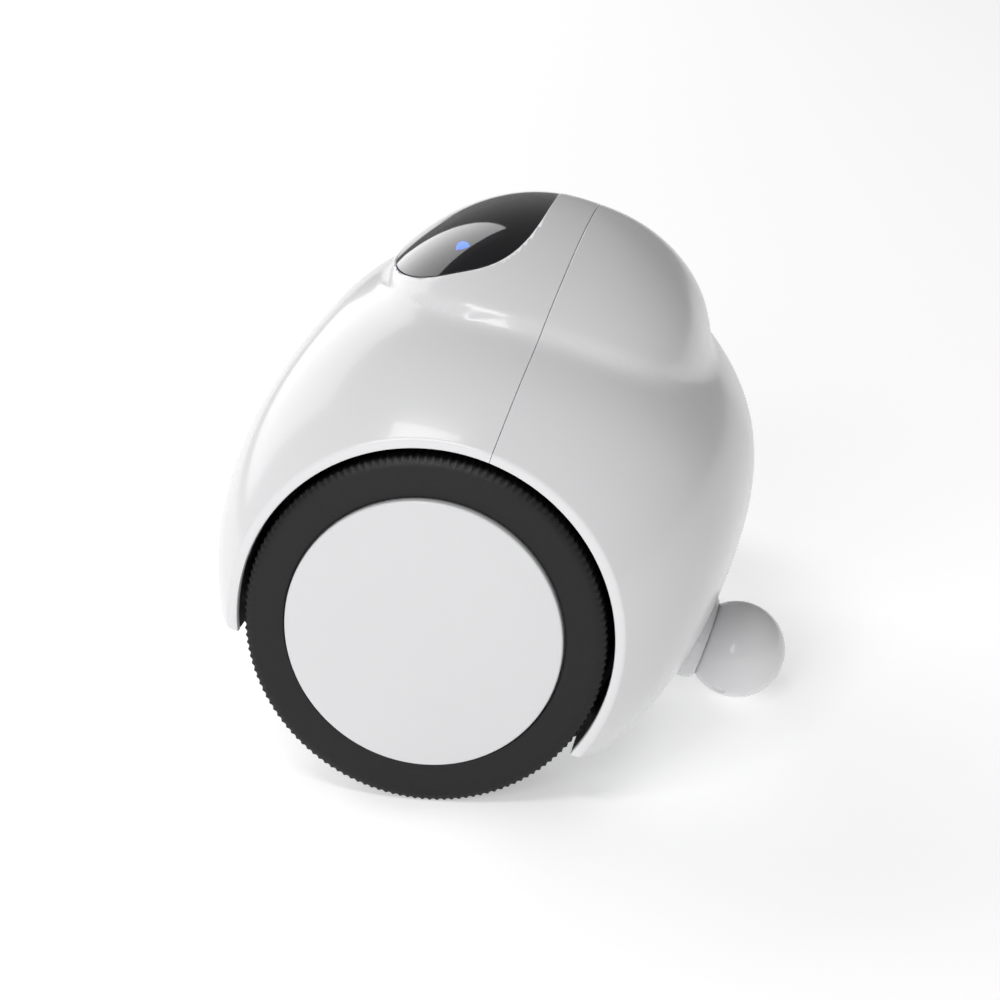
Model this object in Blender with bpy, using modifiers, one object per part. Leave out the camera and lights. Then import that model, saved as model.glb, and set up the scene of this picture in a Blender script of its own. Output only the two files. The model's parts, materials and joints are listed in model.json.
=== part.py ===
"""Two wheel robot car: a leaning egg-shaped robot on two geared wheels and a ball caster.

Units are metres, +Z is up, +X is the robot's left wheel and -Y is its front.
Everything in the body is modelled upright in the body frame, whose origin is the
middle of the wheel axle, and that frame leans back by LEAN.
"""

import math

import bmesh
import bpy
from mathutils import Vector

# Driving dimensions.
WHEEL_RADIUS = 0.050
AXLE_Y = -0.0150  # puts the middle of the whole length on the origin
LEAN = math.radians(18.0)
BODY_HALF_WIDTH = 0.0885
WALL = 0.0024
GAP = 0.0003  # between pieces that touch
SEAM_Y = 0.0020  # plane where the front and the rear shell meet
BASE_Z = -0.0190  # flat underside of the body

# Egg of the body: its sections across X run from a wide middle to round wheel arches.
EGG_CENTRE = (0.0061, 0.0247)
EGG_FRONT, EGG_REAR, EGG_TOP, EGG_BOTTOM = 0.0735, 0.0686, 0.0694, 0.0627
EGG_ARCH_RADIUS = 0.0545
EGG_CENTRE_POWER, EGG_RADIUS_POWER, EGG_SECTION_POWER = 1.78, 4.44, 2.03
BELLY_FRONT, BELLY_REAR = 0.0220, 0.0100  # extra fullness below the middle of the egg

# Dome of the head, a rounded block that grows out of the egg.
HEAD_CENTRE = (0.0015, 0.0384)
HEAD_HALF = (0.0750, 0.0588, 0.0655)
HEAD_PLAN_POWER = 2.55

# Visor: a squared ellipse in a plane that faces up and forward.
VISOR_CENTRE = (-0.0290, 0.0887)
VISOR_TILT = math.radians(53.7)  # of its outlook above straight ahead
VISOR_HALF = (0.0440, 0.0231)
VISOR_POWER = 2.48
VISOR_WALL = 0.0020
VISOR_STEPS = 36

# Wheels and arches, measured out from the middle of the robot.
ARCH_RADIUS = 0.0519
ARCH_IN, ARCH_OUT = 0.0555, 0.0860
LINER_WALL = 0.0015
LINER_ROOM = LINER_WALL + GAP
TYRE_IN, TYRE_OUT = 0.0595, 0.0893
RIM_RADIUS = 0.0437
DISC_RADIUS = 0.0382
DISC_FACE = 0.0908
SHAFT_RADIUS = 0.0025
TYRE_STEPS = 50  # a facet lies flat on the floor in the leaning body frame

# Gear train of each wheel.
MODULE = 0.0009
SMALL_TEETH, LARGE_TEETH = 8, 24
GEAR_CENTRES = MODULE * (SMALL_TEETH + LARGE_TEETH) / 2 + 0.0001
IDLER_ANGLE = math.radians(40.0)
MOTOR_ANGLE = math.radians(110.0)
DRIVE_PLANE, MOTOR_PLANE = 0.0420, 0.0360
GEAR_WIDTH = 0.0040
BOX_IN, BOX_OUT = 0.0332, 0.0497
FRAME_WALL = 0.0500

# Ball caster under the tail, in the body frame.
BALL_RADIUS = 0.0147
BALL_Y = 0.0860
BALL_Z = (BALL_RADIUS - WHEEL_RADIUS + BALL_Y * math.sin(LEAN)) / math.cos(LEAN)
COLLAR_MOUTH = BALL_Y - 0.0098

# Base screws, as heights above the underside.
SCREW_LEVELS = {"sink": (-0.001, 0.0016), "hole": (-0.001, 0.004), "thread": (0.0008, 0.0070),
                "head": (0.0002, 0.0013)}

WHITE = ((0.86, 0.86, 0.87), 0.18, 0.0)
BLACK = ((0.012, 0.012, 0.014), 0.35, 0.0)
RUBBER = ((0.045, 0.045, 0.050), 0.62, 0.0)
SMOKE = ((0.010, 0.010, 0.014), 0.05, 0.0)
SATIN = ((0.80, 0.80, 0.82), 0.38, 0.0)
STEEL = ((0.55, 0.56, 0.58), 0.30, 1.0)
BRASS = ((0.72, 0.53, 0.25), 0.35, 1.0)
GREY = ((0.30, 0.31, 0.33), 0.50, 0.0)
NYLON = ((0.85, 0.84, 0.78), 0.45, 0.0)
BOARD = ((0.02, 0.18, 0.07), 0.45, 0.0)
BLUE = ((0.03, 0.35, 1.0), 0.25, 0.0)
FOIL = ((0.10, 0.22, 0.45), 0.40, 0.0)


def clear_scene():
    for obj in list(bpy.data.objects):
        bpy.data.objects.remove(obj, do_unlink=True)


def new_collection(name):
    collection = bpy.data.collections.new(name)
    bpy.context.scene.collection.children.link(collection)
    return collection


def material_of(name, look):
    colour, roughness, metallic = look
    material = bpy.data.materials.new(name)
    material.use_nodes = True
    shader = material.node_tree.nodes["Principled BSDF"]
    shader.inputs["Base Color"].default_value = (*colour, 1.0)
    shader.inputs["Roughness"].default_value = roughness
    shader.inputs["Metallic"].default_value = metallic
    return material


clear_scene()
ROBOT = new_collection("two_wheel_robot_car")
CUTTERS = new_collection("cutters")
CUTTERS.hide_render = True
BODY_FRAME = bpy.data.objects.new("body_frame", None)
BODY_FRAME.location = (0.0, AXLE_Y, WHEEL_RADIUS)
BODY_FRAME.rotation_euler = (-LEAN, 0.0, 0.0)
ROBOT.objects.link(BODY_FRAME)


def add_object(name, mesh, look=None, location=(0, 0, 0), rotation=(0, 0, 0)):
    """A sub-part in the body frame, or a cutter when it has no look."""
    obj = bpy.data.objects.new(name, mesh)
    obj.parent = BODY_FRAME
    obj.location = location
    obj.rotation_euler = rotation
    if look is None:
        CUTTERS.objects.link(obj)
        obj.hide_render = True
        obj.display_type = "WIRE"
        return obj
    ROBOT.objects.link(obj)
    mesh.materials.append(material_of(name, look))
    if len(mesh.polygons):
        mesh.shade_smooth()
        mesh.set_sharp_from_angle(angle=math.radians(35))
    return obj


def mesh_from(name, build):
    """A mesh whose bmesh the given function fills, with its faces turned out."""
    work = bmesh.new()
    build(work)
    bmesh.ops.recalc_face_normals(work, faces=work.faces)
    mesh = bpy.data.meshes.new(name)
    work.to_mesh(mesh)
    work.free()
    return mesh


def boolean(obj, other, operation):
    modifier = obj.modifiers.new(f"{operation.lower()}_{other.name}", "BOOLEAN")
    modifier.object = other
    modifier.operation = operation
    modifier.solver = "EXACT"
    return obj


def box(name, size, centre, look=None, bevel=0.0):
    def build(work):
        bmesh.ops.create_cube(work, size=1.0)
        bmesh.ops.scale(work, vec=Vector(size), verts=work.verts)

    obj = add_object(name, mesh_from(name, build), look, centre)
    if bevel:
        modifier = obj.modifiers.new("edges", "BEVEL")
        modifier.width = bevel
        modifier.segments = 2
        modifier.limit_method = "ANGLE"
    return obj


def cylinder(name, radius, low, high, centre=(0, 0), look=None, axis="X", steps=32):
    """A cylinder along an axis of the body frame, with its centre given across that axis."""
    middle = (low + high) / 2
    turn, place = {
        "X": ((0, math.pi / 2, 0), (middle, *centre)),
        "Y": ((-math.pi / 2, 0, 0), (centre[0], middle, centre[1])),
        "Z": ((0, 0, 0), (*centre, middle)),
    }[axis]

    def build(work):
        bmesh.ops.create_cone(work, cap_ends=True, segments=steps, radius1=radius,
                              radius2=radius, depth=abs(high - low))

    return add_object(name, mesh_from(name, build), look, place, turn)


def turned(name, profile, look, side=1, centre=(0, 0), axis="X", steps=48):
    """A turned piece. Its profile is (radius, distance out along the axis) and closes itself."""
    area = sum(a[0] * b[1] - b[0] * a[1] for a, b in zip(profile, profile[1:] + profile[:1]))
    points = profile if area < 0 else profile[::-1]
    solid = min(point[0] for point in points) == 0.0
    if solid:
        first = next(i for i, point in enumerate(points) if point[0] == 0.0 and points[i - 1][0] == 0.0)
        points = points[first:] + points[:first]
    mesh = bpy.data.meshes.new(name)
    edges = [(i, i + 1) for i in range(len(points) - 1)]
    if not solid:
        edges.append((len(points) - 1, 0))
    mesh.from_pydata([(r, 0.0, h) for r, h in points], edges, [])
    turn, place = {
        "X": ((0, side * math.pi / 2, 0), (0.0, *centre)),
        "Y": ((-side * math.pi / 2, 0, 0), (centre[0], 0.0, centre[1])),
    }[axis]
    obj = add_object(name, mesh, look, place, turn)
    screw = obj.modifiers.new("turn", "SCREW")
    screw.axis = "Z"
    screw.steps = screw.render_steps = steps
    screw.use_merge_vertices = True
    screw.merge_threshold = 0.00001
    screw.use_smooth_shade = True
    return obj


def egg_section(x, inset):
    """Centre and half sizes (y, z, front, rear, top, bottom) of the egg's section at x."""
    share = abs(x) / BODY_HALF_WIDTH
    centre = 1 - share**EGG_CENTRE_POWER
    swell = 1 - share**EGG_RADIUS_POWER
    halves = [EGG_ARCH_RADIUS + (half - EGG_ARCH_RADIUS) * swell - inset
              for half in (EGG_FRONT, EGG_REAR, EGG_TOP, EGG_BOTTOM)]
    return EGG_CENTRE[0] * centre, EGG_CENTRE[1] * centre, halves


def belly(x, c):
    """Fullness added to the egg's lower half at x, in the direction whose cosine is c."""
    share = min(1.0, abs(x) / BODY_HALF_WIDTH)
    forward = 0.5 - 0.5 * math.tanh(3 * c)
    return (BELLY_REAR + (BELLY_FRONT - BELLY_REAR) * forward) * (1 - share**2)**2


def egg(name, inset=0.0, stations=14, around=38, look=None):
    """The closed egg, lofted through its sections from wheel arch to wheel arch."""
    reach = BODY_HALF_WIDTH - inset

    def build(work):
        rings = []
        for i in range(stations + 1):
            x = reach * math.sin(math.pi * (i / stations - 0.5))
            cy, cz, (front, rear, top, bottom) = egg_section(x, inset)
            ring = []
            for j in range(around):
                c, s = math.cos(math.tau * j / around), math.sin(math.tau * j / around)
                k = (abs(c)**EGG_SECTION_POWER + abs(s)**EGG_SECTION_POWER)**(-1 / EGG_SECTION_POWER)
                y = cy + k * c * (rear if c > 0 else front)
                z = cz + k * s * (top if s > 0 else bottom + belly(x, c))
                ring.append(work.verts.new((x, y, z)))
            rings.append(ring)
        for one, two in zip(rings, rings[1:]):
            for j in range(around):
                k = (j + 1) % around
                work.faces.new((one[j], one[k], two[k], two[j]))
        work.faces.new(rings[0])
        work.faces.new(rings[-1])

    return add_object(name, mesh_from(name, build), look)


def dome(name, inset=0.0, around=30, rows=16):
    """The closed head block: a sphere stretched to the head's sizes and squared in plan."""
    def build(work):
        bmesh.ops.create_uvsphere(work, u_segments=around, v_segments=rows, radius=1.0)
        for vert in work.verts:
            x, y, z = vert.co
            flat = math.hypot(x, y)
            if flat > 1e-6:
                c, s = abs(x) / flat, abs(y) / flat
                k = (c**HEAD_PLAN_POWER + s**HEAD_PLAN_POWER)**(-1 / HEAD_PLAN_POWER)
                x, y = x * k, y * k
            half = [value - inset for value in HEAD_HALF]
            vert.co = (x * half[0], HEAD_CENTRE[0] + y * half[1], HEAD_CENTRE[1] + z * half[2])

    return add_object(name, mesh_from(name, build))


def skin(name, inset=0.0, look=None):
    """The outer surface, or one inset from it, as a closed solid: egg and head joined."""
    if inset:
        return boolean(egg(name, inset, 12, 30), dome(f"{name}_head", inset, 24, 12), "UNION")
    return boolean(egg(name, look=look), dome(f"{name}_head"), "UNION")


def visor_prism(name, grow):
    """A cutter with the visor's outline, running up and forward out of the head."""
    def build(work):
        ring = []
        for i in range(VISOR_STEPS):
            c, s = math.cos(math.tau * i / VISOR_STEPS), math.sin(math.tau * i / VISOR_STEPS)
            k = (abs(c)**VISOR_POWER + abs(s)**VISOR_POWER)**(-1 / VISOR_POWER)
            across, up = (VISOR_HALF[0] + grow) * k * c, (VISOR_HALF[1] + grow) * k * s
            ring.append(work.verts.new((across, up, -0.015)))
        moved = bmesh.ops.extrude_face_region(work, geom=[work.faces.new(ring)])["geom"]
        corners = [item for item in moved if isinstance(item, bmesh.types.BMVert)]
        bmesh.ops.translate(work, vec=(0, 0, 0.045), verts=corners)

    turn = math.radians(90.0) - VISOR_TILT
    return add_object(name, mesh_from(name, build), location=(0, *VISOR_CENTRE), rotation=(turn, 0, 0))


def make_shells():
    hollow = skin("hollow", WALL)
    below = box("below_base", (0.30, 0.30, 0.10), (0, 0, BASE_Z - 0.05))
    opening = visor_prism("visor_opening", GAP)
    arches = [cylinder("arch_bore", ARCH_RADIUS, -0.10, 0.10, steps=48),
              cylinder("liner_room", ARCH_RADIUS + LINER_ROOM, -ARCH_OUT - GAP, ARCH_OUT + GAP, steps=48)]
    half = {"front_shell": -1, "rear_shell": 1}
    shells = {}
    for name, side in half.items():
        shell = skin(name, 0.0, WHITE)
        boolean(shell, hollow, "DIFFERENCE")
        for arch in arches:
            boolean(shell, arch, "DIFFERENCE")
        boolean(shell, below, "DIFFERENCE")
        other = box(f"not_{name}", (0.30, 0.20, 0.40), (0, SEAM_Y - side * (0.10 - GAP / 2), 0))
        boolean(shell, other, "DIFFERENCE")
        shells[name] = shell
    boolean(shells["front_shell"], opening, "DIFFERENCE")
    return shells


def make_visor():
    visor = skin("visor", 0.0, SMOKE)
    boolean(visor, skin("visor_hollow", VISOR_WALL), "DIFFERENCE")
    boolean(visor, visor_prism("visor_outline", 0.0), "INTERSECT")


def make_base():
    """The flat plate that closes the underside, with its screws."""
    depth = 0.0026
    cover = box("base_cover", (0.17, 0.15, depth), (0, 0, BASE_Z + depth / 2), GREY)
    boolean(cover, egg("base_outline", WALL + GAP, 12, 30), "INTERSECT")
    for side in (-1, 1):
        low, high = sorted((side * (ARCH_IN - GAP), side * 0.10))
        room = cylinder(f"base_arch_{side}", ARCH_RADIUS + LINER_ROOM, low, high, steps=48)
        boolean(cover, room, "DIFFERENCE")
    spots = [(x, y) for y in (-0.028, 0.037) for x in (-0.038, 0.038)]
    for number, spot in enumerate(spots, 1):
        rise = {key: (BASE_Z + low, BASE_Z + high) for key, (low, high) in SCREW_LEVELS.items()}
        sink = cylinder(f"sink_{number}", 0.0031, *rise["sink"], spot, axis="Z", steps=20)
        hole = cylinder(f"base_hole_{number}", 0.0018, *rise["hole"], spot, axis="Z", steps=16)
        boolean(boolean(cover, sink, "DIFFERENCE"), hole, "DIFFERENCE")
        screw = cylinder(f"base_screw_{number}", 0.0015, *rise["thread"], spot, STEEL, "Z", 12)
        head = cylinder(f"screw_head_{number}", 0.0027, *rise["head"], spot, axis="Z", steps=20)
        boolean(screw, head, "UNION")
    return spots


def make_frame(spots):
    """The inner frame: a floor with two uprights that carry the gearboxes."""
    floor_low = BASE_Z + 0.0029
    floor_high = floor_low + 0.0020
    frame = box("frame_plate", (0.104, 0.086, 0.0020), (0, 0.008, (floor_low + floor_high) / 2), GREY)
    for side in (-1, 1):
        wall = box(f"upright_{side}", (0.0022, 0.056, 0.062),
                   (side * (FRAME_WALL + 0.0011), 0.004, floor_high - 0.001 + 0.031))
        boolean(frame, wall, "UNION")
        low, high = sorted((side * 0.045, side * 0.060))
        boolean(frame, cylinder(f"bush_seat_{side}", 0.0048, low, high), "DIFFERENCE")
    for number, (x, y) in enumerate(spots, 1):
        post_high, bore_high = floor_low + 0.0056, floor_low + 0.0046
        post = cylinder(f"post_{number}", 0.0036, floor_low + 0.0005, post_high, (x, y), axis="Z", steps=20)
        bore_low = floor_low - 0.001
        bore = cylinder(f"post_bore_{number}", 0.0018, bore_low, bore_high, (x, y), axis="Z", steps=16)
        boolean(boolean(frame, post, "UNION"), bore, "DIFFERENCE")


def make_arch_liner(name, side):
    """A black cup around the wheel, open below the body."""
    inner, outer = ARCH_RADIUS, ARCH_RADIUS + LINER_WALL
    profile = [(0.0085, ARCH_IN), (outer, ARCH_IN), (outer, ARCH_OUT), (inner, ARCH_OUT),
               (inner, ARCH_IN + LINER_WALL), (0.0085, ARCH_IN + LINER_WALL)]
    liner = turned(name, profile, BLACK, side, steps=48)
    below = box(f"{name}_below", (0.30, 0.30, 0.10), (0, 0, BASE_Z - 0.05 + GAP))
    boolean(liner, below, "DIFFERENCE")


def make_wheel(prefix, side):
    shoulder = 0.0020
    tyre_inner = RIM_RADIUS + 2 * GAP
    tread = WHEEL_RADIUS / math.cos(math.pi / TYRE_STEPS)  # so that the facets touch the true radius
    tyre = [(tyre_inner, TYRE_IN), (tread - shoulder, TYRE_IN), (tread, TYRE_IN + shoulder),
            (tread, TYRE_OUT - shoulder), (tread - shoulder, TYRE_OUT), (DISC_RADIUS + 0.0006, TYRE_OUT),
            (DISC_RADIUS + 0.0006, TYRE_OUT - 0.0016), (tyre_inner, TYRE_OUT - 0.0016)]
    turned(f"{prefix}_tyre", tyre, RUBBER, side, steps=TYRE_STEPS)
    rim = [(SHAFT_RADIUS + GAP, 0.0590), (0.0075, 0.0590), (0.0075, 0.0740), (0.0410, 0.0740),
           (0.0410, 0.0600), (RIM_RADIUS, 0.0600), (RIM_RADIUS, 0.0874), (0.0360, 0.0874),
           (0.0360, 0.0850), (0.0405, 0.0850), (0.0405, 0.0765), (SHAFT_RADIUS + GAP, 0.0765)]
    turned(f"{prefix}_rim", rim, GREY, side, steps=30)
    disc = [(0.0, 0.0877), (DISC_RADIUS, 0.0877), (DISC_RADIUS, DISC_FACE - 0.0006),
            (DISC_RADIUS - 0.0006, DISC_FACE), (0.0, DISC_FACE)]
    turned(f"{prefix}_hub_disc", disc, SATIN, side, steps=48)
    shaft = [(0.0, 0.0392), (SHAFT_RADIUS, 0.0392), (SHAFT_RADIUS, 0.0766), (0.00175, 0.0766),
             (0.00175, 0.0700), (0.0, 0.0700)]
    turned(f"{prefix}_wheel_shaft", shaft, STEEL, side, steps=24)
    screw = [(0.0, 0.0706), (0.00145, 0.0706), (0.00145, 0.0770), (0.0045, 0.0770),
             (0.0045, 0.0785), (0.0030, 0.0795), (0.0, 0.0795)]
    turned(f"{prefix}_wheel_screw", screw, STEEL, side, steps=16)
    bush = [(SHAFT_RADIUS + 0.00008, 0.0470), (0.0045, 0.0470), (0.0045, 0.0526), (0.0065, 0.0526),
            (0.0065, 0.0542), (SHAFT_RADIUS + 0.00008, 0.0542)]
    turned(f"{prefix}_bush", bush, BRASS, side, steps=24)


def gear_outline(teeth, phase):
    """Points around a gear with involute flanks; a tooth's middle points along the phase."""
    pitch = MODULE * teeth / 2
    base = pitch * math.cos(math.radians(20))
    radii = [pitch - 1.0 * MODULE, pitch + 0.65 * MODULE]

    def half_angle(radius):
        def involute(r):
            pressure = math.acos(min(1.0, base / r))
            return math.tan(pressure) - pressure
        backlash = 0.00006 / pitch
        return math.pi / (2 * teeth) - backlash + involute(pitch) - involute(max(radius, base))

    points = []
    for tooth in range(teeth):
        middle = phase + math.tau * tooth / teeth
        for radius in radii:
            angle = middle - half_angle(radius)
            points.append((radius * math.cos(angle), radius * math.sin(angle)))
        for radius in reversed(radii):
            angle = middle + half_angle(radius)
            points.append((radius * math.cos(angle), radius * math.sin(angle)))
    return points


def gear(name, teeth, phase, plane, centre, look=None):
    """A solid gear about an axis along X, with its mid-width in the given plane."""
    outline = gear_outline(teeth, phase)

    def build(work):
        near = [work.verts.new((-GEAR_WIDTH / 2, y, z)) for y, z in outline]
        face = work.faces.new(near)
        moved = bmesh.ops.extrude_face_region(work, geom=[face])["geom"]
        corners = [item for item in moved if isinstance(item, bmesh.types.BMVert)]
        bmesh.ops.translate(work, vec=(GEAR_WIDTH, 0, 0), verts=corners)

    return add_object(name, mesh_from(name, build), look, (plane, *centre))


def make_gear_train(prefix, side):
    """Wheel gear, compound idler and motor pinion, in mesh at rest."""
    idler_at = (GEAR_CENTRES * math.cos(IDLER_ANGLE), GEAR_CENTRES * math.sin(IDLER_ANGLE))
    motor_at = (idler_at[0] + GEAR_CENTRES * math.cos(MOTOR_ANGLE),
                idler_at[1] + GEAR_CENTRES * math.sin(MOTOR_ANGLE))
    drive_plane, motor_plane = side * DRIVE_PLANE, side * MOTOR_PLANE
    drive = gear(f"{prefix}_drive_gear", LARGE_TEETH, IDLER_ANGLE, drive_plane, (0, 0), NYLON)
    low, high = sorted((side * 0.038, side * 0.046))
    boolean(drive, cylinder(f"{prefix}_drive_bore", SHAFT_RADIUS + GAP, low, high), "DIFFERENCE")
    facing = math.pi + math.pi / SMALL_TEETH  # turns a gap of the small gear towards its partner's tooth
    small = gear(f"{prefix}_idler_small", SMALL_TEETH, IDLER_ANGLE + facing, drive_plane, idler_at)
    idler = gear(f"{prefix}_idler_gear", LARGE_TEETH, MOTOR_ANGLE, motor_plane, idler_at, NYLON)
    low, high = sorted((side * (MOTOR_PLANE + 0.001), side * (DRIVE_PLANE - 0.001)))
    boolean(idler, cylinder(f"{prefix}_idler_neck", 0.0024, low, high, idler_at, steps=16), "UNION")
    boolean(idler, small, "UNION")
    low, high = sorted((side * 0.032, side * 0.046))
    boolean(idler, cylinder(f"{prefix}_idler_bore", 0.00160, low, high, idler_at, steps=20), "DIFFERENCE")
    low, high = sorted((side * (BOX_IN + 0.0002), side * 0.0482))
    cylinder(f"{prefix}_idler_pin", 0.00150, low, high, idler_at, STEEL, steps=20)
    pinion = gear(f"{prefix}_pinion", SMALL_TEETH, MOTOR_ANGLE + facing, motor_plane, motor_at, BRASS)
    low, high = sorted((side * 0.0255, side * MOTOR_PLANE))
    boolean(pinion, cylinder(f"{prefix}_motor_shaft", 0.0010, low, high, motor_at, steps=16), "UNION")
    return idler_at, motor_at


def make_gearbox(prefix, side, idler_at, motor_at):
    """A tray around the gears, its flat cover and the motor on that cover."""
    middle = (BOX_IN + BOX_OUT) / 2
    size = (BOX_OUT - BOX_IN, 0.0380, 0.0466)
    centre = (side * middle, 0.0055, 0.0098)
    case = box(f"{prefix}_gearbox_case", size, centre, GREY)
    wall = 0.0016
    room = box(f"{prefix}_gear_room", (size[0], size[1] - 2 * wall, size[2] - 2 * wall),
               (centre[0] - side * wall, centre[1], centre[2]))
    boolean(case, room, "DIFFERENCE")
    low, high = sorted((side * 0.046, side * 0.052))
    boolean(case, cylinder(f"{prefix}_case_bore", 0.0048, low, high), "DIFFERENCE")
    boolean(case, cylinder(f"{prefix}_pin_seat", 0.0018, low, high, idler_at, steps=20), "DIFFERENCE")
    cover_x = side * (BOX_IN - GAP - 0.0007)
    cover = box(f"{prefix}_gearbox_cover", (0.0014, size[1], size[2]), (cover_x, centre[1], centre[2]), GREY)
    low, high = sorted((side * 0.028, side * 0.036))
    boolean(cover, cylinder(f"{prefix}_cover_bore", 0.0030, low, high, motor_at, steps=24), "DIFFERENCE")
    outer = BOX_IN - 2 * GAP - 0.0014
    motor = [(0.0013, outer), (0.0098, outer), (0.0102, outer - 0.0006), (0.0102, 0.0072),
             (0.0090, 0.0062), (0.0, 0.0062), (0.0, 0.0240), (0.0013, 0.0240)]
    turned(f"{prefix}_motor", motor, STEEL, side, motor_at, steps=24)


def make_inside():
    """Battery, boards, camera, light and speaker."""
    box("battery", (0.0620, 0.0340, 0.0180), (0, 0.0345, -0.0044), FOIL, 0.0015)
    box("main_board", (0.0760, 0.0560, 0.0016), (0, 0.0060, 0.0490), BOARD)
    box("head_board", (0.0400, 0.0220, 0.0016), (0, -0.0190, 0.0715), BOARD)
    for name, points, foot, tilt, look in (
        ("camera_barrel",
         [(0.0040, 0.0), (0.0062, 0.0), (0.0062, 0.0186), (0.0052, 0.0186), (0.0040, 0.0170)],
         (-0.0126, 0.0768), 40.0, BLACK),
        ("camera_lens", [(0.0, 0.0130), (0.0037, 0.0130), (0.0037, 0.0155), (0.0024, 0.0164), (0.0, 0.0168)],
         (-0.0126, 0.0768), 40.0, SMOKE),
        ("status_light", [(0.0, 0.0), (0.0021, 0.0), (0.0021, 0.0074), (0.0015, 0.0087), (0.0, 0.0092)],
         (-0.0273, 0.0740), 32.0, BLUE),
    ):
        piece = turned(name, points, look, steps=24)
        piece.location = (0, *foot)
        piece.rotation_euler = (math.radians(tilt), 0, 0)
    speaker = [(0.0, 0.0), (0.0090, 0.0), (0.0140, -0.0045), (0.0140, -0.0062), (0.0, -0.0062)]
    cone = turned("speaker", speaker, BLACK, axis="Y", steps=32)
    cone.location = (0.0, -0.0480, 0.0250)


def ball_profile(radius, rows):
    """Half outline of a ball, from its low pole to its high one."""
    angles = [math.pi * (i / rows - 0.5) for i in range(1, rows)]
    return [(0.0, -radius), *((radius * math.cos(a), radius * math.sin(a)) for a in angles), (0.0, radius)]


def ball_cutter(name, clearance):
    return turned(name, [(r, BALL_Y + h) for r, h in ball_profile(BALL_RADIUS + clearance, 16)], None,
                  centre=(0, BALL_Z), axis="Y", steps=28)


def make_caster(rear_shell):
    """Ball under the tail, in a collar with a low-friction seat and a magnet behind it."""
    collar_profile = [(0.0062, 0.0500), (0.0136, 0.0500), (0.0136, COLLAR_MOUTH - 0.0030),
                      (0.0131, COLLAR_MOUTH - 0.0010), (0.0121, COLLAR_MOUTH), (0.0062, COLLAR_MOUTH)]
    collar = turned("caster_collar", collar_profile, WHITE, centre=(0, BALL_Z), axis="Y", steps=28)
    boolean(collar, ball_cutter("collar_room", 0.0006), "DIFFERENCE")
    boolean(collar, egg("collar_foot", -GAP), "DIFFERENCE")
    magnet_room = cylinder("magnet_room", 0.0059, 0.050, 0.080, (0, BALL_Z), axis="Y", steps=32)
    boolean(rear_shell, magnet_room, "DIFFERENCE")
    seat = cylinder("caster_seat", 0.0058, 0.0668, 0.0750, (0, BALL_Z), NYLON, "Y", 32)
    boolean(seat, ball_cutter("seat_room", 0.00035), "DIFFERENCE")
    cylinder("caster_magnet", 0.0055, 0.0618, 0.0664, (0, BALL_Z), STEEL, "Y", 28)
    ball = turned("caster_ball", ball_profile(BALL_RADIUS, 11), WHITE, steps=30)
    ball.location = (0, BALL_Y, BALL_Z)


def make_tail_fittings(rear_shell):
    """Power button and charging socket in the rear shell."""
    button_z, port_z = 0.0260, 0.0100
    boolean(rear_shell, cylinder("button_bore", 0.0043, 0.060, 0.090, (0, button_z), axis="Y", steps=32),
            "DIFFERENCE")
    button = [(0.0, 0.0672), (0.0054, 0.0672), (0.0054, 0.0684), (0.0040, 0.0684),
              (0.0040, 0.0734), (0.0034, 0.0740), (0.0, 0.0740)]
    turned("power_button", button, WHITE, centre=(0, button_z), axis="Y", steps=24)
    boolean(rear_shell, box("port_slot", (0.0096, 0.040, 0.0040), (0, 0.070, port_z)), "DIFFERENCE")
    port = box("charge_port", (0.0090, 0.0070, 0.0034), (0, 0.0692, port_z), STEEL)
    boolean(port, box("port_room", (0.0080, 0.0070, 0.0024), (0, 0.0704, port_z)), "DIFFERENCE")
    boolean(port, box("port_tongue", (0.0060, 0.0052, 0.0008), (0, 0.0690, port_z)), "UNION")


def main():
    shells = make_shells()
    make_visor()
    make_frame(make_base())
    for prefix, side in (("left", 1), ("right", -1)):
        make_arch_liner(f"{prefix}_arch_liner", side)
        make_wheel(prefix, side)
        idler_at, motor_at = make_gear_train(prefix, side)
        make_gearbox(prefix, side, idler_at, motor_at)
    make_inside()
    make_caster(shells["rear_shell"])
    make_tail_fittings(shells["rear_shell"])


main()
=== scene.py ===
"""Looks of the two wheel robot car: fine shells, visor, tyres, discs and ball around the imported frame.

Units are metres. The body frame has its origin in the middle of the wheel axle and
leans back by LEAN; shapes of the body are worked out there and then moved to the world.
"""
import json
import math

import bmesh
import bpy
import numpy as np
from mathutils import Matrix, Vector


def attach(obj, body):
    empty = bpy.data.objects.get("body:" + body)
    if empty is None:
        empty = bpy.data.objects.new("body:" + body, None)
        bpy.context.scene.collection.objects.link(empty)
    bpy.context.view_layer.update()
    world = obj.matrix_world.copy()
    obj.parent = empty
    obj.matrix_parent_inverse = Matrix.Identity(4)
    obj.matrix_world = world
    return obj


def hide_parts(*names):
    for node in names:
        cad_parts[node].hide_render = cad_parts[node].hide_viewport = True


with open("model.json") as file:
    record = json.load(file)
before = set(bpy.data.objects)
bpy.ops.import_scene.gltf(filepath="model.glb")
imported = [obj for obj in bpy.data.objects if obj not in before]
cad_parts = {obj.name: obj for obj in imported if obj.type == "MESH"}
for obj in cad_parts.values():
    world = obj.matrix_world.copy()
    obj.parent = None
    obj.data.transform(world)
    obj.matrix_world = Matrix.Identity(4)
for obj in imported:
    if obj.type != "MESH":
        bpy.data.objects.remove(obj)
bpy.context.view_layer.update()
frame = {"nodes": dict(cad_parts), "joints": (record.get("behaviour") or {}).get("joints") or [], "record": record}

JOINTS = {joint["name"]: joint for joint in frame["joints"]}
AXLE = Vector(JOINTS["left_wheel_spin"]["pos_m"])
BALL = Vector(JOINTS["caster_ball_roll"]["pos_m"])
LEAN = math.radians(18.0)
BODY_FRAME = Matrix.Translation(AXLE) @ Matrix.Rotation(-LEAN, 4, "X")
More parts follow.
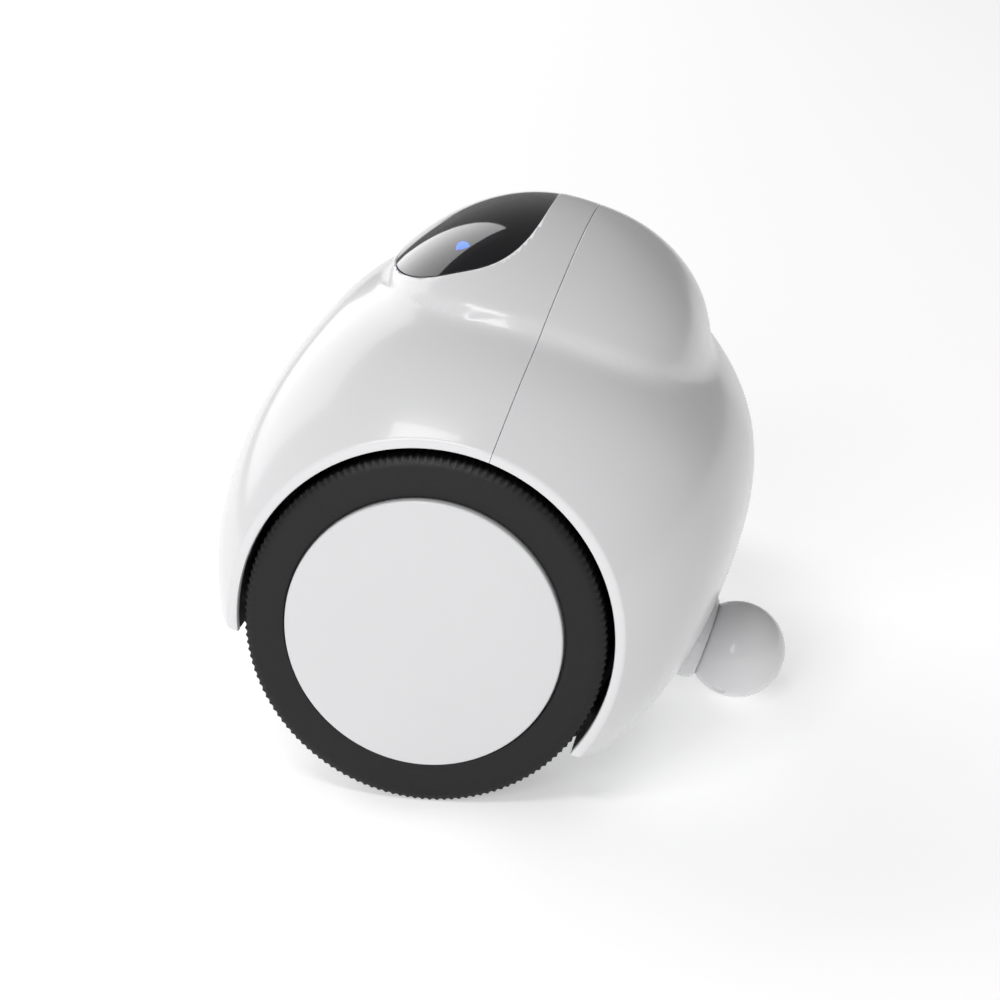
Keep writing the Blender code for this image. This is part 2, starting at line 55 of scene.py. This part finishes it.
LEAN_TURN = np.array(Matrix.Rotation(-LEAN, 3, "X"))

# Body surface. The egg and the head have the solid model's dimensions; the nape,
# crease, tuck and fillet that shape the neck are only in this finer skin.
HALF_WIDTH = 0.0885
WALL = 0.0024
SEAM_Y, SEAM_GAP = 0.0020, 0.00014
VISOR_GAP = 0.0003
BUTTON_Z, BUTTON_BORE = 0.0260, 0.0043
PORT_Z, PORT_SLOT = 0.0100, (0.0096, 0.0040)
BASE_Z = -0.0190
EGG_CENTRE = (0.0061, 0.0247)
EGG_HALVES = (0.0735, 0.0686, 0.0694, 0.0627)  # front, rear, top, bottom
EGG_ARCH_RADIUS = 0.0545
EGG_CENTRE_POWER, EGG_RADIUS_POWER, EGG_SECTION_POWER = 1.78, 4.44, 2.03
BELLY_FRONT, BELLY_REAR = 0.0220, 0.0100
HEAD_CENTRE = (0.0015, 0.0384)
HEAD_HALF = (0.0750, 0.0588, 0.0655)
HEAD_PLAN_POWER = 2.55
EGG_FIELD_SIZE, HEAD_FIELD_SIZE = 0.066, 0.062  # mean half sizes, which turn ratios into lengths
NECK_FILLET = 0.0026
NAPE_DEPTH, NAPE_HALF_WIDTH = 0.0040, 0.062
NAPE_ANGLE, NAPE_SPREAD = math.radians(58.0), math.radians(24.0)
CREASE_TOP, CREASE_Y = 0.0793, 0.0080
CREASE_DROP_REAR, CREASE_DROP_FRONT = 4.2, 3.0  # how fast the crease falls either way, per metre
CAP_OVERHANG = 0.0010
CREASE_DEPTH, CREASE_WIDTH, CAP_ROUNDING = 0.0017, 0.0065, 0.0060
HEAD_TUCK, TUCK_Y, TUCK_Z, TUCK_SPREAD = 0.0024, 0.045, 0.073, 0.013
ARCH_RADIUS = 0.0519
VISOR_CENTRE, VISOR_HALF, VISOR_POWER = (-0.0290, 0.0887), (0.0440, 0.0231), 2.48
VISOR_TILT = math.radians(53.7)
VISOR_WALL = 0.0020
LAMP_FOOT, LAMP_TILT = (-0.0273, 0.0740), math.radians(32.0)

WHEEL_RADIUS = 0.050
TYRE_IN, TYRE_OUT = 0.0595, 0.0893
RIM_RADIUS, DISC_RADIUS, DISC_FACE = 0.0437, 0.0382, 0.0908
TYRE_SHOULDER = 0.0009
RIBS, RIB_DEPTH = 150, 0.00050
BALL_RADIUS = 0.0147

FLOOR_GLOW, WORLD_LEVEL = 0.42, 0.22


# ---------------------------------------------------------------- materials

def finish(name, colour, roughness, metallic=0.0, spread=0.06, grain=900.0, bump=0.02,
           shade=0.03, coat=0.0, alpha=1.0, glow=None):
    """A moulded or machined finish: fine grain drives colour, roughness and bump."""
    material = bpy.data.materials.new(name)
    material.use_nodes = True
    nodes, links = material.node_tree.nodes, material.node_tree.links
    shader = nodes["Principled BSDF"]
    shader.inputs["Metallic"].default_value = metallic
    shader.inputs["Coat Weight"].default_value = coat
    shader.inputs["Coat Roughness"].default_value = 0.04
    shader.inputs["Alpha"].default_value = alpha
    place = nodes.new("ShaderNodeTexCoord")
    fine = nodes.new("ShaderNodeTexNoise")
    fine.inputs["Scale"].default_value = grain
    fine.inputs["Detail"].default_value = 6.0
    broad = nodes.new("ShaderNodeTexNoise")
    broad.inputs["Scale"].default_value = 24.0
    broad.inputs["Detail"].default_value = 3.0
    for noise in (fine, broad):
        links.new(place.outputs["Object"], noise.inputs["Vector"])
    tint = nodes.new("ShaderNodeMapRange")
    tint.inputs["To Min"].default_value = 1.0 - shade
    tint.inputs["To Max"].default_value = 1.0 + shade
    links.new(broad.outputs["Fac"], tint.inputs["Value"])
    mix = nodes.new("ShaderNodeVectorMath")
    mix.operation = "SCALE"
    mix.inputs[0].default_value = colour
    links.new(tint.outputs["Result"], mix.inputs["Scale"])
    links.new(mix.outputs["Vector"], shader.inputs["Base Color"])
    rough = nodes.new("ShaderNodeMapRange")
    rough.inputs["From Min"].default_value = 0.3
    rough.inputs["From Max"].default_value = 0.7
    rough.inputs["To Min"].default_value = max(0.0, roughness - spread)
    rough.inputs["To Max"].default_value = min(1.0, roughness + spread)
    links.new(fine.outputs["Fac"], rough.inputs["Value"])
    links.new(rough.outputs["Result"], shader.inputs["Roughness"])
    relief = nodes.new("ShaderNodeBump")
    relief.inputs["Strength"].default_value = bump
    relief.inputs["Distance"].default_value = 0.0004
    links.new(fine.outputs["Fac"], relief.inputs["Height"])
    links.new(relief.outputs["Normal"], shader.inputs["Normal"])
    if glow:
        shader.inputs["Emission Color"].default_value = (*glow[0], 1.0)
        shader.inputs["Emission Strength"].default_value = glow[1]
    return material


WHITE = finish("gloss_white", (0.76, 0.76, 0.77), 0.24, spread=0.02, bump=0.01, shade=0.01, coat=0.22)
WHITE.node_tree.nodes["Principled BSDF"].inputs["Specular IOR Level"].default_value = 0.38
SMOKE = finish("smoked_gloss", (0.004, 0.004, 0.006), 0.06, spread=0.02, bump=0.002, coat=0.6, alpha=0.88)
SMOKE.node_tree.nodes["Principled BSDF"].inputs["Coat IOR"].default_value = 1.5
SMOKE.node_tree.nodes["Principled BSDF"].inputs["Specular IOR Level"].default_value = 0.3
LINER = finish("liner_black", (0.012, 0.012, 0.013), 0.55, grain=1400, bump=0.15)
RUBBER = finish("tyre_rubber", (0.0085, 0.0085, 0.0095), 0.42, spread=0.08, grain=1600, bump=0.12, shade=0.10)
RUBBER.node_tree.nodes["Principled BSDF"].inputs["Specular IOR Level"].default_value = 0.3
SATIN = finish("disc_satin", (0.70, 0.70, 0.71), 0.34, spread=0.05, grain=2200, bump=0.03, shade=0.01)
FRAME = finish("frame_grey", (0.22, 0.23, 0.24), 0.50, grain=1200, bump=0.12, shade=0.05)
STEEL = finish("bright_steel", (0.55, 0.56, 0.58), 0.28, metallic=1.0, spread=0.08, grain=1500, bump=0.05)
BRASS = finish("bush_brass", (0.72, 0.53, 0.25), 0.32, metallic=1.0, spread=0.08, grain=1500, bump=0.05)
NYLON = finish("gear_nylon", (0.78, 0.76, 0.68), 0.42, grain=1300, bump=0.06, shade=0.04)
BOARD = finish("board_green", (0.015, 0.13, 0.05), 0.42, grain=700, bump=0.10, shade=0.15)
WRAP = finish("battery_wrap", (0.05, 0.12, 0.32), 0.38, grain=500, bump=0.08, shade=0.06)
HOOD = finish("hood_black", (0.010, 0.010, 0.012), 0.42, grain=1400, bump=0.10)
LENS = finish("lens_glass", (0.010, 0.010, 0.020), 0.03, spread=0.01, bump=0.0, coat=1.0)
LIGHT = finish("blue_light", (0.02, 0.25, 0.95), 0.20, bump=0.01, glow=((0.01, 0.16, 1.0), 75.0))


# ---------------------------------------------------------------- body surface

def egg_field(x, y, z):
    """About the distance outside the egg at points of the body frame."""
    share = np.clip(np.abs(x) / HALF_WIDTH, 0.0, 1.0)
    centre, swell = 1 - share**EGG_CENTRE_POWER, 1 - share**EGG_RADIUS_POWER
    dy, dz = y - EGG_CENTRE[0] * centre, z - EGG_CENTRE[1] * centre
    front, rear, top, bottom = (EGG_ARCH_RADIUS + (half - EGG_ARCH_RADIUS) * swell for half in EGG_HALVES)
    cosine = dy / np.maximum(np.hypot(dy, dz), 1e-9)
    forward = 0.5 - 0.5 * np.tanh(3 * cosine)
    fullness = (BELLY_REAR + (BELLY_FRONT - BELLY_REAR) * forward) * (1 - share**2)**2
    angle = np.arctan2(dz, dy)
    inboard = np.clip(1 - (x / NAPE_HALF_WIDTH)**2, 0, 1)**2
    nape = NAPE_DEPTH * inboard * np.exp(-((angle - NAPE_ANGLE) / NAPE_SPREAD)**2)
    half_y = np.where(dy > 0, rear, front) - nape
    half_z = np.where(dz > 0, top, bottom + fullness) - nape
    power = EGG_SECTION_POWER
    ratio = (np.abs(dy / half_y)**power + np.abs(dz / half_z)**power)**(1 / power)
    return (ratio - 1) * EGG_FIELD_SIZE


def head_field(x, y, z):
    """About the distance outside the head block."""
    power = HEAD_PLAN_POWER
    plan = (np.abs(x / HEAD_HALF[0])**power + np.abs((y - HEAD_CENTRE[0]) / HEAD_HALF[1])**power)**(1 / power)
    ratio = np.hypot(plan, (z - HEAD_CENTRE[1]) / HEAD_HALF[2])
    return (ratio - 1) * HEAD_FIELD_SIZE


def crease_height(y):
    """Height of the head's lower edge, which arches along the body."""
    return CREASE_TOP - np.where(y > CREASE_Y, CREASE_DROP_REAR, CREASE_DROP_FRONT) * (y - CREASE_Y)**2


def skin_field(x, y, z):
    """Egg with a soft crease around it, and the head's cap standing proud above the crease."""
    above = z - crease_height(y)
    one = egg_field(x, y, z) + CREASE_DEPTH * np.exp(-(above / CREASE_WIDTH)**2)
    tuck = HEAD_TUCK * np.clip(y / TUCK_Y, 0, 1)**2 * np.exp(-((z - TUCK_Z) / TUCK_SPREAD)**2)
    head, below = head_field(x, y, z) + tuck, -CAP_OVERHANG - above
    overlap = np.maximum(CAP_ROUNDING - np.abs(head - below), 0.0) / CAP_ROUNDING
    two = np.maximum(head, below) + overlap**2 * CAP_ROUNDING / 4
    share = np.maximum(NECK_FILLET - np.abs(one - two), 0.0) / NECK_FILLET
    return np.minimum(one, two) - share**2 * NECK_FILLET / 4


def skin_normals(points):
    """Unit normals of the body surface at points of the body frame."""
    step = 0.00005
    slope = []
    for axis in range(3):
        ahead, back = points.copy(), points.copy()
        ahead[..., axis] += step
        back[..., axis] -= step
        slope.append(skin_field(*np.moveaxis(ahead, -1, 0)) - skin_field(*np.moveaxis(back, -1, 0)))
    normals = np.stack(slope, -1)
    return normals / np.linalg.norm(normals, axis=-1, keepdims=True)


def reach(start, direction, far=0.16, rounds=34):
    """Distance from inside points along directions to the body surface."""
    low, high = np.zeros(start.shape[:-1]), np.full(start.shape[:-1], far)
    for _ in range(rounds):
        middle = (low + high) / 2
        inside = skin_field(*np.moveaxis(start + direction * middle[..., None], -1, 0)) < 0
        low, high = np.where(inside, middle, low), np.where(inside, high, middle)
    return (low + high) / 2


# ---------------------------------------------------------------- mesh helpers

def to_world(points):
    return points @ LEAN_TURN.T + np.array(AXLE)


def mesh_object(name, points, faces, material, sharp=35.0):
    mesh = bpy.data.meshes.new(name)
    mesh.from_pydata([tuple(p) for p in points], [], faces)
    mesh.update()
    work = bmesh.new()
    work.from_mesh(mesh)
    bmesh.ops.remove_doubles(work, verts=work.verts, dist=0.000002)
    bmesh.ops.recalc_face_normals(work, faces=work.faces)
    work.to_mesh(mesh)
    work.free()
    mesh.shade_smooth()
    mesh.set_sharp_from_angle(angle=math.radians(sharp))
    mesh.materials.append(material)
    obj = bpy.data.objects.new(name, mesh)
    bpy.context.scene.collection.objects.link(obj)
    return obj


def grid_faces(rows, around):
    """Quads of a tube whose rings of points follow one another."""
    faces = []
    for i in range(0, (rows - 1) * around, around):
        for j in range(around):
            k = (j + 1) % around
            faces.append((i + j, i + k, i + around + k, i + around + j))
    return faces


def prism(name, near, far):
    """A closed body between two outlines in the body frame."""
    count = len(near)
    caps = [tuple(range(count)), tuple(range(count, 2 * count))]
    return mesh_object(name, to_world(np.concatenate([near, far])), grid_faces(2, count) + caps, WHITE)


def lathe(name, profile, material, steps=128, ripple=None, sharp=35.0):
    """A turned solid about X through the axle: profile points are (radius, x), closed."""
    turn = np.linspace(0, 2 * np.pi, steps, endpoint=False)
    loops = []
    for angle in turn:
        points = []
        for radius, x in profile:
            r = radius + (ripple(radius, x, angle) if ripple else 0.0)
            points.append((x, r * math.cos(angle), r * math.sin(angle)))
        loops.append(np.array(points))
    size, total = len(profile), steps * len(profile)
    faces = [tuple(v % total for v in quad) for quad in grid_faces(steps + 1, size)]
    return mesh_object(name, np.concatenate(loops) + np.array(AXLE), faces, material, sharp)


def arc(centre, radius, start, end, count):
    """Points (radius, x) along an arc of a turned profile, angles in degrees."""
    angles = np.radians(np.linspace(start, end, count))
    return [(centre[0] + radius * math.cos(a), centre[1] + radius * math.sin(a)) for a in angles]


def dress(obj, body, material_slot, *nodes):
    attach(obj, body)
    if nodes:
        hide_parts(*nodes)
    return obj


# ---------------------------------------------------------------- shells

def shell_columns(count):
    """Fractions from the seam (0) to the underside (1), closer together at both edges."""
    inner = np.linspace(0, 1, count)
    inner = 0.5 - 0.5 * np.cos(np.pi * inner) * 0.35 - 0.5 * (1 - 2 * inner) * 0.65
    return np.concatenate([[0.0, 0.0012], inner[1:-1], [0.9965, 1.0]])


def shell_surface(side, stations, columns):
    """Outer points of one half shell, as an array [station, column]."""
    origin_y, origin_z = SEAM_Y + side * SEAM_GAP / 2, 0.010
    x = stations
    flat = np.stack([x, np.full_like(x, origin_y), np.full_like(x, BASE_Z)], -1)
    across = reach(flat, np.array([0.0, side, 0.0]))
    end = np.arctan2(BASE_Z - origin_z, across)
    angle = np.pi / 2 + (end - np.pi / 2)[:, None] * columns[None, :]
    grid = np.stack(np.broadcast_arrays(x[:, None], origin_y, origin_z), -1) + np.zeros((*angle.shape, 3))
    direction = np.stack([np.zeros_like(angle), side * np.cos(angle), np.sin(angle)], -1)
    return grid + direction * reach(grid, direction)[..., None]


LIP_STEPS = (  # inset from the side, radius to start from (None: the skin's own), step from it
    (0.00012, None, -0.0004), (0.0, None, -0.0010), (0.0, ARCH_RADIUS, 0.0005),
    (0.00012, ARCH_RADIUS, 0.00015), (0.0005, ARCH_RADIUS, 0.0), (0.0022, ARCH_RADIUS, 0.0),
)


def lip_rows(edge, side, end):
    """Rows that roll the outer surface over the arch edge and into the arch."""
    radius = np.hypot(edge[:, 1], edge[:, 2])
    angle = np.arctan2(edge[:, 2], side * edge[:, 1])
    rows = []
    seam = SEAM_Y * side + SEAM_GAP / 2
    for inset, base, step in LIP_STEPS:
        target = (radius if base is None else np.full_like(radius, base)) + step
        first, last = np.arccos(seam / target[0]), np.arcsin(BASE_Z / target[-1])
        turned = first + (angle - angle[0]) / (angle[-1] - angle[0]) * (last - first)
        x = end * (HALF_WIDTH - inset)
        across, up = side * target * np.cos(turned), target * np.sin(turned)
        rows.append(np.stack([np.full_like(radius, x), across, up], -1))
    return rows


def make_shell(name, side):
    columns = shell_columns(140)
    reach_x = HALF_WIDTH - 0.0004
    stations = reach_x * np.sin(np.linspace(-np.pi / 2, np.pi / 2, 161))
    skin = shell_surface(side, stations, columns)
    normals = skin_normals(skin)
    outer = skin.copy()
    outer[:, 0] -= normals[:, 0] * 0.00015
    outer[:, -1] -= normals[:, -1] * 0.0004
    inner = (skin - WALL * normals)[np.abs(stations) < 0.0845][::-3]
    lip_left, lip_right = lip_rows(outer[0], side, -1), lip_rows(outer[-1], side, 1)
    grid = np.stack(lip_left[::-1] + list(outer) + lip_right + list(inner))
    size, count = grid.shape[:2]
    caps = [tuple(range(size)), tuple((count - 1) * size + k for k in range(size))]
    points = np.swapaxes(grid, 0, 1).reshape(-1, 3)
    return mesh_object(name, to_world(points), grid_faces(count, size) + caps, WHITE, 30.0)


def visor_outline(grow, count):
    """Body-frame points of the visor's outline in its own tilted plane, evenly spaced."""
    angle = np.linspace(0, 2 * np.pi, 4000, endpoint=False)
    c, s = np.cos(angle), np.sin(angle)
    k = (np.abs(c)**VISOR_POWER + np.abs(s)**VISOR_POWER)**(-1 / VISOR_POWER)
    flat = np.stack([(VISOR_HALF[0] + grow) * k * c, (VISOR_HALF[1] + grow) * k * s], -1)
    step = np.linalg.norm(np.diff(flat, axis=0, append=flat[:1]), axis=1)
    run = np.concatenate([[0.0], np.cumsum(step)])
    closed = np.concatenate([flat, flat[:1]])
    at = np.linspace(0, run[-1], count, endpoint=False)
    x, w = np.interp(at, run, closed[:, 0]), np.interp(at, run, closed[:, 1])
    return on_visor_plane(x, w)


def on_visor_plane(x, w):
    sine, cosine = math.sin(VISOR_TILT), math.cos(VISOR_TILT)
    return np.stack([x, VISOR_CENTRE[0] + w * sine, VISOR_CENTRE[1] + w * cosine], -1)


VISOR_OUT = np.array([0.0, -math.cos(VISOR_TILT), math.sin(VISOR_TILT)])


def visor_cutter():
    edge = visor_outline(VISOR_GAP, 240)
    return prism("visor_cutter", edge - 0.015 * VISOR_OUT, edge + 0.030 * VISOR_OUT)


def slot_cutter(name, outline):
    """A cutter running backwards through the tail; the outline lists (x, z)."""
    near, far = (np.array([(x, y, z) for x, z in outline]) for y in (0.060, 0.090))
    return prism(name, near, far)


def rounded_slot(half_x, half_z, radius, middle_z):
    """Outline (x, z) of a slot with rounded corners."""
    outline = []
    for corner in range(4):
        sx, sz = ((1, 1), (-1, 1), (-1, -1), (1, -1))[corner]
        for a in np.radians(np.linspace(90 * corner, 90 * corner + 90, 12)):
            outline.append((sx * (half_x - radius) + radius * math.cos(a),
                            middle_z + sz * (half_z - radius) + radius * math.sin(a)))
    return outline


def cut_and_apply(obj, cutter):
    modifier = obj.modifiers.new("opening", "BOOLEAN")
    modifier.object = cutter
    modifier.solver = "EXACT"
    graph = bpy.context.evaluated_depsgraph_get()
    mesh = bpy.data.meshes.new_from_object(obj.evaluated_get(graph))
    obj.modifiers.clear()
    obj.data = mesh
    bpy.data.objects.remove(cutter)


def polish(obj):
    """Gives the outer skin its exact normals, so that reflections run smoothly over it."""
    mesh = obj.data
    count = len(mesh.vertices)
    co = np.zeros(count * 3)
    mesh.vertices.foreach_get("co", co)
    body = (co.reshape(-1, 3) - np.array(AXLE)) @ LEAN_TURN
    on_skin = np.abs(skin_field(*body.T)) < 0.00005
    on_skin &= np.abs(body[:, 0]) < HALF_WIDTH - 0.0003
    exact = skin_normals(body) @ LEAN_TURN.T
    corner_vertex = np.zeros(len(mesh.loops), np.int64)
    mesh.loops.foreach_get("vertex_index", corner_vertex)
    own = np.zeros(len(mesh.loops) * 3)
    mesh.corner_normals.foreach_get("vector", own)
    own = own.reshape(-1, 3)
    wanted = exact[corner_vertex]
    close = on_skin[corner_vertex] & ((own * wanted).sum(1) > math.cos(math.radians(25)))
    mesh.normals_split_custom_set(np.where(close[:, None], wanted, own).tolist())


def make_visor(name):
    """Smoked window that follows the head's surface, with a fine rounded edge."""
    rings, around = 40, 240
    edge = visor_outline(0.0, around)
    middle = on_visor_plane(0.0, 0.0)
    share = np.concatenate([np.linspace(0.02, 0.985, rings - 3), [0.994, 0.998, 1.0]])
    start = middle + share[:, None, None] * (edge - middle) - 0.012 * VISOR_OUT
    outer = start + VISOR_OUT * reach(start, VISOR_OUT, 0.05)[..., None]
    normals = skin_normals(outer)
    inner = outer - VISOR_WALL * normals
    outer[-1] -= 0.00015 * normals[-1]
    points = np.concatenate([outer.reshape(-1, 3), inner.reshape(-1, 3)])
    total = rings * around
    faces = grid_faces(rings, around)
    faces += [tuple(total + v for v in quad[::-1]) for quad in faces]
    faces.append(tuple(range(around)))
    faces.append(tuple(total + j for j in range(around))[::-1])
    last = (rings - 1) * around
    for j in range(around):
        k = (j + 1) % around
        faces.append((last + j, last + k, total + last + k, total + last + j))
    return mesh_object(name, to_world(points), faces, SMOKE)


# ---------------------------------------------------------------- wheels

def tread(radius, x, angle):
    """Depth of the fine cross ribs, which run out over the tyre's narrow shoulders."""
    fade = min(1.0, max(0.0, (radius - (WHEEL_RADIUS - TYRE_SHOULDER)) / 0.0005))
    return -RIB_DEPTH * fade * (0.5 - 0.5 * math.cos(RIBS * angle))**0.7


def make_tyre(prefix, side):
    r, shoulder = WHEEL_RADIUS, TYRE_SHOULDER
    lip = DISC_RADIUS + 0.0004
    face = TYRE_OUT - 0.0007  # where the crowned sidewall meets the shoulder
    profile = [(RIM_RADIUS + 0.0006, TYRE_IN)]
    profile += arc((r - shoulder, TYRE_IN + shoulder), shoulder, -90, 0, 6)
    profile += [(r, TYRE_IN + (face - TYRE_IN) * k / 6) for k in range(1, 6)]
    profile += arc((r - shoulder, face - shoulder), shoulder, 0, 78, 7)
    profile += [(0.0480, TYRE_OUT - 0.00022), (0.0468, TYRE_OUT - 0.00005)]
    profile += [(0.0455, TYRE_OUT), (0.0420, TYRE_OUT)]
    profile += arc((lip + 0.0005, TYRE_OUT - 0.0005), 0.0005, 90, 180, 4)
    profile += [(lip, TYRE_OUT - 0.0016), (RIM_RADIUS + 0.0006, TYRE_OUT - 0.0016)]
    tyre = lathe(f"{prefix}_tyre_fine", [(a, side * x) for a, x in profile], RUBBER, RIBS * 6, tread, 40.0)
    return dress(tyre, f"{prefix}_wheel", "tyre_rubber", f"{prefix}_tyre")


def make_disc(prefix, side):
    edge = 0.0006
    profile = [(0.0, DISC_FACE), (0.012, DISC_FACE), (0.025, DISC_FACE)]
    profile += arc((DISC_RADIUS - edge, DISC_FACE - edge), edge, 90, 0, 6)
    profile += [(DISC_RADIUS, 0.0877), (0.0, 0.0877)]
    disc = lathe(f"{prefix}_hub_disc_fine", [(a, side * x) for a, x in profile], SATIN, 192)
    return dress(disc, f"{prefix}_wheel", "disc_satin", f"{prefix}_hub_disc")


# ---------------------------------------------------------------- caster

def make_ball():
    """White ball with a small round moulding recess."""
    rows, around = 96, 160
    pole = Vector((0.708, -0.314, -0.631)).normalized()
    points = []
    for i in range(rows + 1):
        tilt = math.pi * (i + 0.02) / (rows + 0.04)
        for j in range(around):
            turn = math.tau * j / around
            way = Vector((math.cos(tilt), math.sin(tilt) * math.cos(turn), math.sin(tilt) * math.sin(turn)))
            away = math.acos(max(-1.0, min(1.0, way.dot(pole)))) * BALL_RADIUS
            dip = max(0.0, min(1.0, (0.0022 - away) / 0.0004))
            points.append(BALL + way * (BALL_RADIUS - 0.0006 * dip * dip * (3 - 2 * dip)))
    faces = grid_faces(rows + 1, around)
    faces += [tuple(range(around)), tuple(rows * around + j for j in range(around))]
    ball = mesh_object("caster_ball_fine", points, faces, WHITE)
    return dress(ball, "caster", "shell_white", "caster_ball")


def make_lamp():
    """Status light: a black sleeve with a glowing dome at its tip."""
    radius, straight, height, around = 0.0021, 0.0072, 0.0092, 48
    profile = [(0.0, 0.0), (radius, 0.0), (radius, straight - 0.0004), (radius - 0.00015, straight - 0.0003)]
    profile += [(radius * math.cos(a), straight + (height - straight) * math.sin(a))
                for a in np.linspace(0.05, math.pi / 2, 12)]
    points = [(r * math.cos(t), r * math.sin(t), h) for r, h in profile
              for t in np.linspace(0, math.tau, around, endpoint=False)]
    faces = grid_faces(len(profile), around)
    place = (BODY_FRAME @ Matrix.Translation((0, *LAMP_FOOT)) @ Matrix.Rotation(LAMP_TILT, 4, "X"))
    lamp = mesh_object("status_light_fine", [place @ Vector(p) for p in points], faces, HOOD)
    lamp.data.materials.append(LIGHT)
    tip = place @ Vector((0, 0, straight))
    for face in lamp.data.polygons:
        face.material_index = int((face.center - tip).dot(place.to_3x3() @ Vector((0, 0, 1))) > 0)
    return dress(lamp, "robot_body", "light_blue", "status_light")


# ---------------------------------------------------------------- stage

def make_stage():
    """A softly glowing white table."""
    size = 6.0
    paper = finish("floor_white", (0.88, 0.88, 0.88), 0.6, bump=0.0, shade=0.0,
                   glow=((1.0, 1.0, 1.0), FLOOR_GLOW))
    floor = mesh_object("floor", [(-size, -size, 0), (size, -size, 0), (size, size, 0), (-size, size, 0)],
                        [(0, 1, 2, 3)], paper)


def area_light(name, azimuth, elevation, distance, width, height, power):
    """A softbox aimed at the robot from a direction given in degrees."""
    data = bpy.data.lights.new(name, "AREA")
    data.energy = power
    data.shape = "RECTANGLE"
    data.size, data.size_y = width, height
    light = bpy.data.objects.new(name, data)
    bpy.context.scene.collection.objects.link(light)
    az, el = math.radians(azimuth), math.radians(elevation)
    way = Vector((math.cos(el) * math.cos(az), math.cos(el) * math.sin(az), math.sin(el)))
    light.matrix_world = (Matrix.Translation(Vector((0, 0, 0.06)) + way * distance)
                          @ way.to_track_quat("Z", "Y").to_matrix().to_4x4())


def make_lights():
    world = bpy.data.worlds.new("studio")
    bpy.context.scene.world = world
    world.use_nodes = True
    world.node_tree.nodes["Background"].inputs["Color"].default_value = (1.0, 1.0, 1.0, 1.0)
    world.node_tree.nodes["Background"].inputs["Strength"].default_value = WORLD_LEVEL
    area_light("left_softbox", -130, 27, 2.85, 2.85, 2.25, 43.0)
    area_light("camera_softbox", -12, 22, 1.3, 0.55, 0.5, 5.2)
    area_light("top_softbox", -20, 58, 3.4, 1.5, 0.6, 26.0)


def make_camera():
    """The main camera, placed relative to the axle."""
    turn, rise = math.radians(99.446), math.radians(18.750)
    back = Vector((math.sin(turn) * math.cos(rise), -math.cos(turn) * math.cos(rise), math.sin(rise)))
    right = Vector((math.cos(turn), math.sin(turn), 0.0))
    up = back.cross(right)
    data = bpy.data.cameras.new("camera")
    data.lens, data.sensor_width = 86.4, 36.0
    data.clip_start, data.clip_end = 0.05, 50.0
    camera = bpy.data.objects.new("camera", data)
    bpy.context.scene.collection.objects.link(camera)
    place = AXLE + Vector((0.67836, 0.11900, 0.24188))
    axes = Matrix((right, up, back)).transposed().to_4x4()
    camera.matrix_world = Matrix.Translation(place) @ axes
    bpy.context.scene.camera = camera


CAD_FINISH = {
    "shell_white": WHITE, "visor_smoke": LENS, "liner_black": LINER, "tyre_rubber": RUBBER,
    "disc_satin": SATIN, "frame_grey": FRAME, "steel": STEEL, "brass": BRASS, "nylon": NYLON,
    "board_green": BOARD, "light_blue": LIGHT, "battery_wrap": WRAP,
}


def dress_cad_nodes():
    for entry in frame["record"]["subparts"]:
        obj = frame["nodes"][entry["node"]]
        obj.data.materials.clear()
        obj.data.materials.append(CAD_FINISH[entry["material_slot"]])
        obj.data.shade_smooth()
        obj.data.set_sharp_from_angle(angle=math.radians(35))


def main():
    make_camera()
    dress_cad_nodes()
    front = make_shell("front_shell_fine", -1)
    cut_and_apply(front, visor_cutter())
    rear = make_shell("rear_shell_fine", 1)
    round_hole = [(BUTTON_BORE * math.cos(a), BUTTON_Z + BUTTON_BORE * math.sin(a))
                  for a in np.linspace(0, math.tau, 64, endpoint=False)]
    cut_and_apply(rear, slot_cutter("button_bore", round_hole))
    slot = rounded_slot(PORT_SLOT[0] / 2, PORT_SLOT[1] / 2, 0.0008, PORT_Z)
    cut_and_apply(rear, slot_cutter("port_slot", slot))
    for shell, node in ((front, "front_shell"), (rear, "rear_shell")):
        polish(shell)
        dress(shell, "robot_body", "shell_white", node)
    visor = make_visor("visor_fine")
    polish(visor)
    dress(visor, "robot_body", "visor_smoke", "visor")
    for prefix, side in (("left", 1), ("right", -1)):
        make_tyre(prefix, side)
        make_disc(prefix, side)
    make_ball()
    make_lamp()
    make_stage()
    make_lights()


bpy.context.scene.view_settings.view_transform = "Standard"
main()
